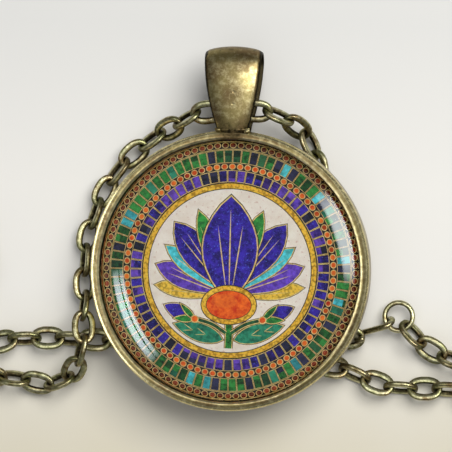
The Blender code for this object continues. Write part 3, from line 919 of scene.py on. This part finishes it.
def paint(points, ink, shade=0.5):
    """Adds a flat shape on top of those before it. Points are in millimetres from the disc's centre."""
    print_shapes.append((points, ink_names.index(ink), shade))


def oval_points(x, y, half_width, half_height, count):
    return [(x + half_width * c, y + half_height * s) for c, s in circle(count)]


def disc_points(x, y, radius, count=DISC_SIDES):
    return oval_points(x, y, radius, radius, count)


def inset(points, distance):
    """Moves a counterclockwise shape's sides inwards."""
    count = len(points)
    moved = []
    for i in range(count):
        a, b, c = (Vector(points[k % count]) for k in (i - 1, i, i + 1))
        before, after = (b - a).normalized(), (c - b).normalized()
        side = Vector((-before.y, before.x))
        inward = side + Vector((-after.y, after.x))
        if inward.length < FOLD_TOLERANCE:
            inward = side.copy()
        inward.normalize()
        stretch = max(inward.dot(side), CORNER_LIMIT)
        moved.append(tuple(b + inward * distance / stretch))
    return moved


def walled(points, ink, shade=0.5, wall=GOLD_WALL, line=DARK_LINE):
    """A colour cell inside a gold wall inside a dark line."""
    paint(inset(points, -line), "outline")
    paint(points, "gold")
    paint(inset(points, wall), ink, shade)


def band(radius, ink):
    paint(disc_points(0, 0, radius, BAND_SIDES), ink)


def ring_cell(inner, outer, first, last):
    """A cell between two radii and two angles, counterclockwise."""
    turns = [first + (last - first) * i / 2 for i in range(3)]
    return ([(outer * math.cos(t), outer * math.sin(t)) for t in turns]
            + [(inner * math.cos(t), inner * math.sin(t)) for t in turns[::-1]])


def petal(base, tip, width, fullness=0.5):
    """A pointed leaf shape between two points, widest at fullness of its length."""
    base = Vector(base)
    along = Vector(tip) - base
    across = Vector((along.y, -along.x)).normalized() * width / 2
    points = []
    for sign in (1, -1):
        side = []
        for i in range(PETAL_STEPS + 1):
            t = i / PETAL_STEPS
            bulge = math.sin(math.pi * t ** (math.log(0.5) / math.log(fullness))) ** 0.8
            side.append(tuple(base + along * t + across * sign * bulge))
        points += side[:-1] if sign == 1 else side[::-1][:-1]
    return points


def stem(points, width, ink):
    """A curved strip through the points, with gold edges."""
    curve = []
    path = [Vector(p) for p in points]
    ends = [2 * path[0] - path[1]] + path + [2 * path[-1] - path[-2]]
    for a, b, c, d in zip(ends, ends[1:], ends[2:], ends[3:]):
        for i in range(STEM_STEPS):
            t = i / STEM_STEPS
            curve.append(0.5 * ((2 * b) + (c - a) * t + (2 * a - 5 * b + 4 * c - d) * t * t
                                + (3 * b - a - 3 * c + d) * t ** 3))
    curve.append(path[-1])

    def strip(half):
        left, right = [], []
        for i, p in enumerate(curve):
            run = (curve[min(i + 1, len(curve) - 1)] - curve[max(i - 1, 0)]).normalized()
            off = Vector((run.y, -run.x)) * half
            right.append(tuple(p + off))
            left.append(tuple(p - off))
        return right + left[::-1]

    paint(strip(width / 2 + DARK_LINE), "outline")
    paint(strip(width / 2), "gold")
    paint(strip(width / 2 - GOLD_WALL), ink)


OUTER_CELLS = 84
COLLAR_CELLS = 66


def bead_ring(radius, count, size, ink, pick, rim=0.085):
    """Round stones in gold settings."""
    for i in range(count):
        middle = 2 * math.pi * i / count
        stone = pick.uniform(0.2, 0.95)
        for half, kind, shade in ((size + rim, "gold", 0.5), (size, ink, stone)):
            points = []
            for c, s in circle(DISC_SIDES):
                out = radius + half * c
                across = middle + half * s / radius
                points.append((out * math.cos(across), out * math.sin(across)))
            paint(points, kind, shade)


def cell_ring(inner, outer, count, inks, pick, wall):
    """Narrow inlay cells between gold walls. Most have a second tone towards one end."""
    for i in range(count):
        first = 2 * math.pi * i / count
        last = 2 * math.pi * (i + 1) / count
        edge = wall / inner
        paint(ring_cell(inner, outer, first + edge * 0.2, last - edge * 0.2), "gold")
        first, last = first + edge, last - edge
        paint(ring_cell(inner + wall, outer - wall, first, last), "outline")
        first, last = first + CELL_LINE / inner, last - CELL_LINE / inner
        ink = pick.choice(inks)
        paint(ring_cell(inner + wall, outer - wall, first, last), ink, pick.uniform(0.15, 0.9))
        if pick.random() < SECOND_TONE_SHARE:
            cut = inner + (outer - inner) * pick.uniform(0.3, 0.75)
            second = pick.choice([ink, ink, pick.choice(inks)])
            paint(ring_cell(cut, outer - wall, first, last), second, pick.uniform(0.1, 0.95))


def draw_border():
    """Rings of narrow inlay cells and stone beads round the rim. Radii are in millimetres."""
    pick = random.Random(11)
    band(12.5, "gold")
    band(12.4, "garnet")
    band(12.08, "gold")
    band(12.0, "outline")
    bead_ring(11.65, 100, 0.25, "garnet", pick, 0.08)
    band(11.28, "gold")
    band(11.2, "outline")
    greens = ["emerald", "pine", "turquoise", "emerald", "jade", "navy", "emerald", "emerald"]
    cell_ring(9.8, 11.16, OUTER_CELLS, greens, pick, 0.055)
    band(9.76, "outline")
    bead_ring(9.44, OUTER_CELLS, 0.225, "carnelian", pick)
    band(9.12, "outline")
    cell_ring(7.92, 9.08, COLLAR_CELLS, ["violet", "lapis", "violet", "navy", "lapis"], pick, 0.06)
    band(7.88, "outline")
    band(7.8, "granules")
    band(7.34, "outline")
    band(7.26, "parchment")


def draw_flower():
    """A water lily in bloom between two buds, over two floating leaves."""
    pick = random.Random(5)
    for side in (-1, 1):
        leaf = [(side * x, y) for x, y in petal((0.4, -6.15), (5.0, -4.75), 1.75, 0.45)]
        walled(leaf if side == 1 else leaf[::-1], "jade", 0.5)
        for share, spread in ((0.35, 0.35), (0.6, 0.3)):
            x, y = 0.4 + 4.6 * share, -6.15 + 1.4 * share
            paint(petal((side * x, y), (side * (x + 0.8), y + 0.25 + spread), 0.07), "gold")
            paint(petal((side * x, y), (side * (x + 0.95), y - 0.05), 0.07), "gold")
    stem([(0, -6.9), (0.04, -5.6), (0, -3.8)], 0.7, "emerald")
    for side in (-1, 1):
        stem([(side * 0.25, -5.5), (side * 1.5, -4.7), (side * 3.1, -4.25)], 0.42, "pine")
        base, tip = (side * 3.0, -4.3), (side * 5.85, -3.1)
        walled(petal(base, tip, 1.5, 0.45), "lapis", 0.6)
        walled(petal(base, (side * 5.0, -4.3), 0.7, 0.42), "emerald", 0.6)
        walled(petal(base, (side * 4.35, -2.9), 0.6, 0.42), "emerald", 0.5)
        paint(disc_points(base[0], base[1], 0.36), "gold")
        paint(disc_points(base[0], base[1], 0.26), "carnelian", 0.7)
    heart = (0, -2.2)
    fans = [(83, 6.8, 1.6, "granules"), (68, 7.2, 2.2, "violet"), (53, 7.3, 1.7, "turquoise"),
            (38, 8.2, 2.7, "lapis"), (21, 8.1, 1.8, "emerald")]
    for angle, length, width, ink in fans:
        for side in (-1, 1):
            turn = math.radians(90 - side * angle)

            def ray(share, lean):
                return (heart[0] + length * share * math.cos(turn + lean),
                        heart[1] + length * share * math.sin(turn + lean))

            walled(petal(heart, ray(1, 0), width, 0.62), ink, pick.uniform(0.5, 0.7), 0.09)
            for lean in (-0.05, 0.05):
                paint(petal(heart, ray(0.82, lean), 0.09, 0.6), "gold")
    walled(petal((0, -2.8), (0, 6.75), 5.0, 0.5), "lapis", 0.6, 0.12, 0.08)
    for side in (-1, 1):
        paint(petal((side * 0.25, -1.8), (side * 1.1, 4.0), 0.1), "gold")
    paint(petal((0, -1.8), (0, 5.5), 0.12), "gold")
    for half_width, half_height, ink in ((2.5, 1.78, "outline"), (2.42, 1.7, "granules"),
                                         (2.02, 1.3, "outline"), (1.96, 1.24, "carnelian")):
        paint(oval_points(0, -3.0, half_width, half_height, OVAL_SIDES), ink)
    paint(oval_points(-0.4, -2.65, 1.15, 0.6, OVAL_SIDES), "carnelian", 0.7)


MERGE_DISTANCE = 1e-9
SKIRT_DROP = 0.002 * MM


def make_print():
    """The design on the disc's top face, cut into flat cells, over the paper's side and underside."""
    draw_border()
    draw_flower()
    coords, loops = [], []
    for points, _, _ in print_shapes:
        loops.append(list(range(len(coords), len(coords) + len(points))))
        coords += [Vector(p) * MM for p in points]
    verts, _, faces, _, _, owners = delaunay_2d_cdt(coords, [], loops, 1, MERGE_DISTANCE)
    radius = GLASS_DIAMETER / 2
    mesh_verts = [(v.x, v.y + pendant_y, print_top) for v in verts]
    mesh_faces = [tuple(face) for face in faces]
    tops = [max(owner) if owner else 0 for owner in owners]
    skirt = len(mesh_verts)
    for z in (print_top - SKIRT_DROP, print_z):
        mesh_verts += [(radius * x, radius * y + pendant_y, z) for x, y in circle(BAND_SIDES)]
    walls = ring_faces(2, BAND_SIDES, False, skirt)
    mesh_faces += walls + [tuple(range(skirt + BAND_SIDES, skirt + 2 * BAND_SIDES))]
    mesh = bpy.data.meshes.new("printed_picture")
    mesh.from_pydata(mesh_verts, [], mesh_faces)
    for mat in ink_materials:
        mesh.materials.append(mat)
    index = [print_shapes[top][1] for top in tops] + [0] * (len(walls) + 1)
    shades = [print_shapes[top][2] for top in tops] + [0.5] * (len(walls) + 1)
    mesh.polygons.foreach_set("material_index", index)
    mesh.attributes.new("paleness", "FLOAT", "FACE").data.foreach_set("value", shades)
    mesh.update()
    piece = add_object("printed_picture", mesh)
    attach(piece, "root")
    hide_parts("printed_disc")


make_print()


# Floor, light and camera

FLOOR_HALF = 3.0
FLOOR_COLOUR = (0.78, 0.77, 0.745)
# Painted shade: the floor's far colour is darker, and its near colour is warm cream and darker.
FLOOR_FAR_SHADE = (0.69, 0.69, 0.68)
FLOOR_WARM_AND_SHADE = (0.63, 0.58, 0.44)
FAR_SHADE_FROM, FAR_SHADE_TO = 4 * MM, 20 * MM
WARM_SHADE_FROM, WARM_SHADE_TO = -6 * MM, -24 * MM
FLOOR_CLOUD = 20 * MM
WORLD_COLOUR = (0.95, 0.965, 0.99)
WORLD_STRENGTH = 0.2
SPLIT_HALF = 0.05

# Name, what takes up the light if not all, azimuth and elevation in degrees, distance, width, height,
# radiance and any colour
LAMPS = [
    ("key", None, 50, 55, 0.45, 0.36, 0.32, 6.7, (1.0, 0.985, 0.94)),
    ("fill", None, 250, 72, 0.90, 1.1, 1.1, 0.36, (0.96, 0.97, 1.0)),
    ("through_glass", "glass", 90, 75, 0.45, 0.5, 0.4, 1.3, (1.0, 0.985, 0.95)),
    ("left_strip", "glass", 204, 19, 0.30, 0.24, 0.046, 6.2, (0.86, 0.93, 1.0)),
    ("right_strip", "glass", 20, 25, 0.30, 0.27, 0.058, 5.6, (0.92, 0.97, 1.0)),
    ("tray_top", "tray", 180, 75, 0.45, 0.24, 0.22, 2.85),
    ("tray_left", "tray", 187, 20, 0.40, 0.50, 0.30, 3.8),
    ("tray_back", "tray", 88, 72, 0.45, 0.34, 0.16, 1.8),
    ("tray_right", "tray", 0, 42, 0.40, 0.50, 0.14, 0.4),
    ("bail_top", "bail", 180, 80, 0.45, 0.36, 0.22, 0.9),
    ("chain_top", "chain", 180, 80, 0.45, 0.36, 0.22, 2.3),
    ("chain_right", "chain", 9, 61, 0.40, 0.15, 0.13, 19.0),
    ("bail_right", "bail", 9, 60, 0.40, 0.14, 0.26, 11.5),
]


def make_floor():
    n = Nodes("studio_floor")
    y = n.add("ShaderNodeSeparateXYZ", {"Vector": n.place}).outputs["Y"]
    cloud = n.map(n.noise(FLOOR_CLOUD, 2, 0.5), 0.3, 0.7, 0.7, 1.0)
    # Painted shade: darker towards +Y; towards -Y a patchy warm cream, also darkened as painted shade.
    colour = n.mix(n.map(y, FAR_SHADE_FROM, FAR_SHADE_TO), FLOOR_COLOUR, FLOOR_FAR_SHADE)
    warm_and_shade = n.math("MULTIPLY", n.map(y, WARM_SHADE_FROM, WARM_SHADE_TO), cloud)
    n.set("Base Color", n.mix(warm_and_shade, colour, FLOOR_WARM_AND_SHADE))
    n.set("Roughness", 0.7)
    verts = [(FLOOR_HALF * x, FLOOR_HALF * y, 0) for x, y in ((-1, -1), (1, -1), (1, 1), (-1, 1))]
    make_piece("floor", verts, [(0, 1, 2, 3)], n.mat)


def add_softbox(name, azimuth, elevation, distance, width, height, radiance, colour=(1, 1, 1)):
    """A soft box aimed at the pendant from this direction. Azimuth 0 is +X and 90 is +Y."""
    a, e = math.radians(azimuth), math.radians(elevation)
    target = Vector((0, pendant_y, glass_z))
    out = Vector((math.cos(e) * math.cos(a), math.cos(e) * math.sin(a), math.sin(e)))
    light = bpy.data.lights.new(name, "AREA")
    light.shape = "RECTANGLE"
    light.size = width
    light.size_y = height
    light.energy = radiance * math.pi * width * height
    light.color = colour
    lamp = add_object(name, light)
    lamp.location = target + out * distance
    lamp.rotation_euler = (-out).to_track_quat("-Z", "Y").to_euler()
    lamp.visible_camera = False
    return lamp


def fade_edges(lamp, along_power, across_power, split=None):
    """Fades a strip light's ends and sides, and leaves a thin dark line along it where it is split."""
    lamp.data.use_nodes = True
    tree = lamp.data.node_tree
    emission = next(node for node in tree.nodes if node.type == "EMISSION")

    def math_node(operation, *values):
        node = tree.nodes.new("ShaderNodeMath")
        node.operation = operation
        for socket, value in zip(node.inputs, values):
            plug(tree, socket, value)
        return node.outputs[0]

    parts = tree.nodes.new("ShaderNodeSeparateXYZ")
    tree.links.new(tree.nodes.new("ShaderNodeNewGeometry").outputs["Parametric"], parts.inputs[0])

    def falloff(share, exponent):
        off_middle = math_node("ABSOLUTE", math_node("MULTIPLY_ADD", share, 2.0, -1.0))
        return math_node("SUBTRACT", 1.0, math_node("POWER", off_middle, exponent))

    glow = math_node("MULTIPLY", falloff(parts.outputs[0], along_power),
                     falloff(parts.outputs[1], across_power))
    if split is not None:
        gap = math_node("ABSOLUTE", math_node("SUBTRACT", parts.outputs[1], split))
        glow = math_node("MULTIPLY", glow, math_node("GREATER_THAN", gap, SPLIT_HALF))
    tree.links.new(glow, emission.inputs["Strength"])


def make_world():
    world = bpy.data.worlds.new("studio")
    world.use_nodes = True
    back = world.node_tree.nodes["Background"]
    back.inputs["Color"].default_value = (*WORLD_COLOUR, 1.0)
    back.inputs["Strength"].default_value = WORLD_STRENGTH
    bpy.context.scene.world = world


# The picture's frame: pixels a side, pixels per metre at the rim, and the pendant's centre in it
PHOTO_SIDE = 452
PHOTO_SCALE = 10.42 / MM
PENDANT_PIXEL = (228.7, 270.8)
CAMERA_YAW = math.radians(7)
CAMERA_ROLL = math.radians(1.2)
CAMERA_DISTANCE = 0.35
SENSOR = 36.0
CLIP_START = 0.01


def make_camera():
    middle = PHOTO_SIDE / 2
    right = (PENDANT_PIXEL[0] - middle) / PHOTO_SCALE
    up = (middle - PENDANT_PIXEL[1]) / PHOTO_SCALE
    turn = Matrix.Rotation(CAMERA_YAW, 3, "Y") @ Matrix.Rotation(CAMERA_ROLL, 3, "Z")
    camera = bpy.data.cameras.new("camera")
    camera.sensor_width = SENSOR
    camera.lens = SENSOR * CAMERA_DISTANCE / (PHOTO_SIDE / PHOTO_SCALE)
    camera.clip_start = CLIP_START
    holder = add_object("camera", camera)
    pendant = Vector((0, pendant_y, tray_z + TRAY_HEIGHT))
    holder.location = pendant + turn @ Vector((-right, -up, CAMERA_DISTANCE))
    holder.rotation_euler = turn.to_euler()
    bpy.context.scene.camera = holder


def group(name, pieces):
    members = bpy.data.collections.new(name)
    for piece in pieces:
        members.objects.link(piece)
    return members


def make_lights():
    """A diffuse key and fill, and lamps for the glass, the tray, the bail or the chain alone."""
    pieces = {"glass": [dome], "tray": [tray_piece], "bail": [bail_piece], "chain": chain_pieces}
    groups = {name: group(name, members) for name, members in pieces.items()}
    lamps = {}
    for name, receivers, *look in LAMPS:
        lamps[name] = add_softbox(name, *look)
        if receivers:
            lamps[name].light_linking.receiver_collection = groups[receivers]
    for name in ("key", "fill", "through_glass"):
        lamps[name].visible_glossy = False
    fade_edges(lamps["left_strip"], 4.0, 8.0, 0.6)
    fade_edges(lamps["right_strip"], 3.0, 6.0)


make_floor()
make_world()
make_lights()
make_camera()
bpy.context.scene.view_settings.view_transform = "Standard"
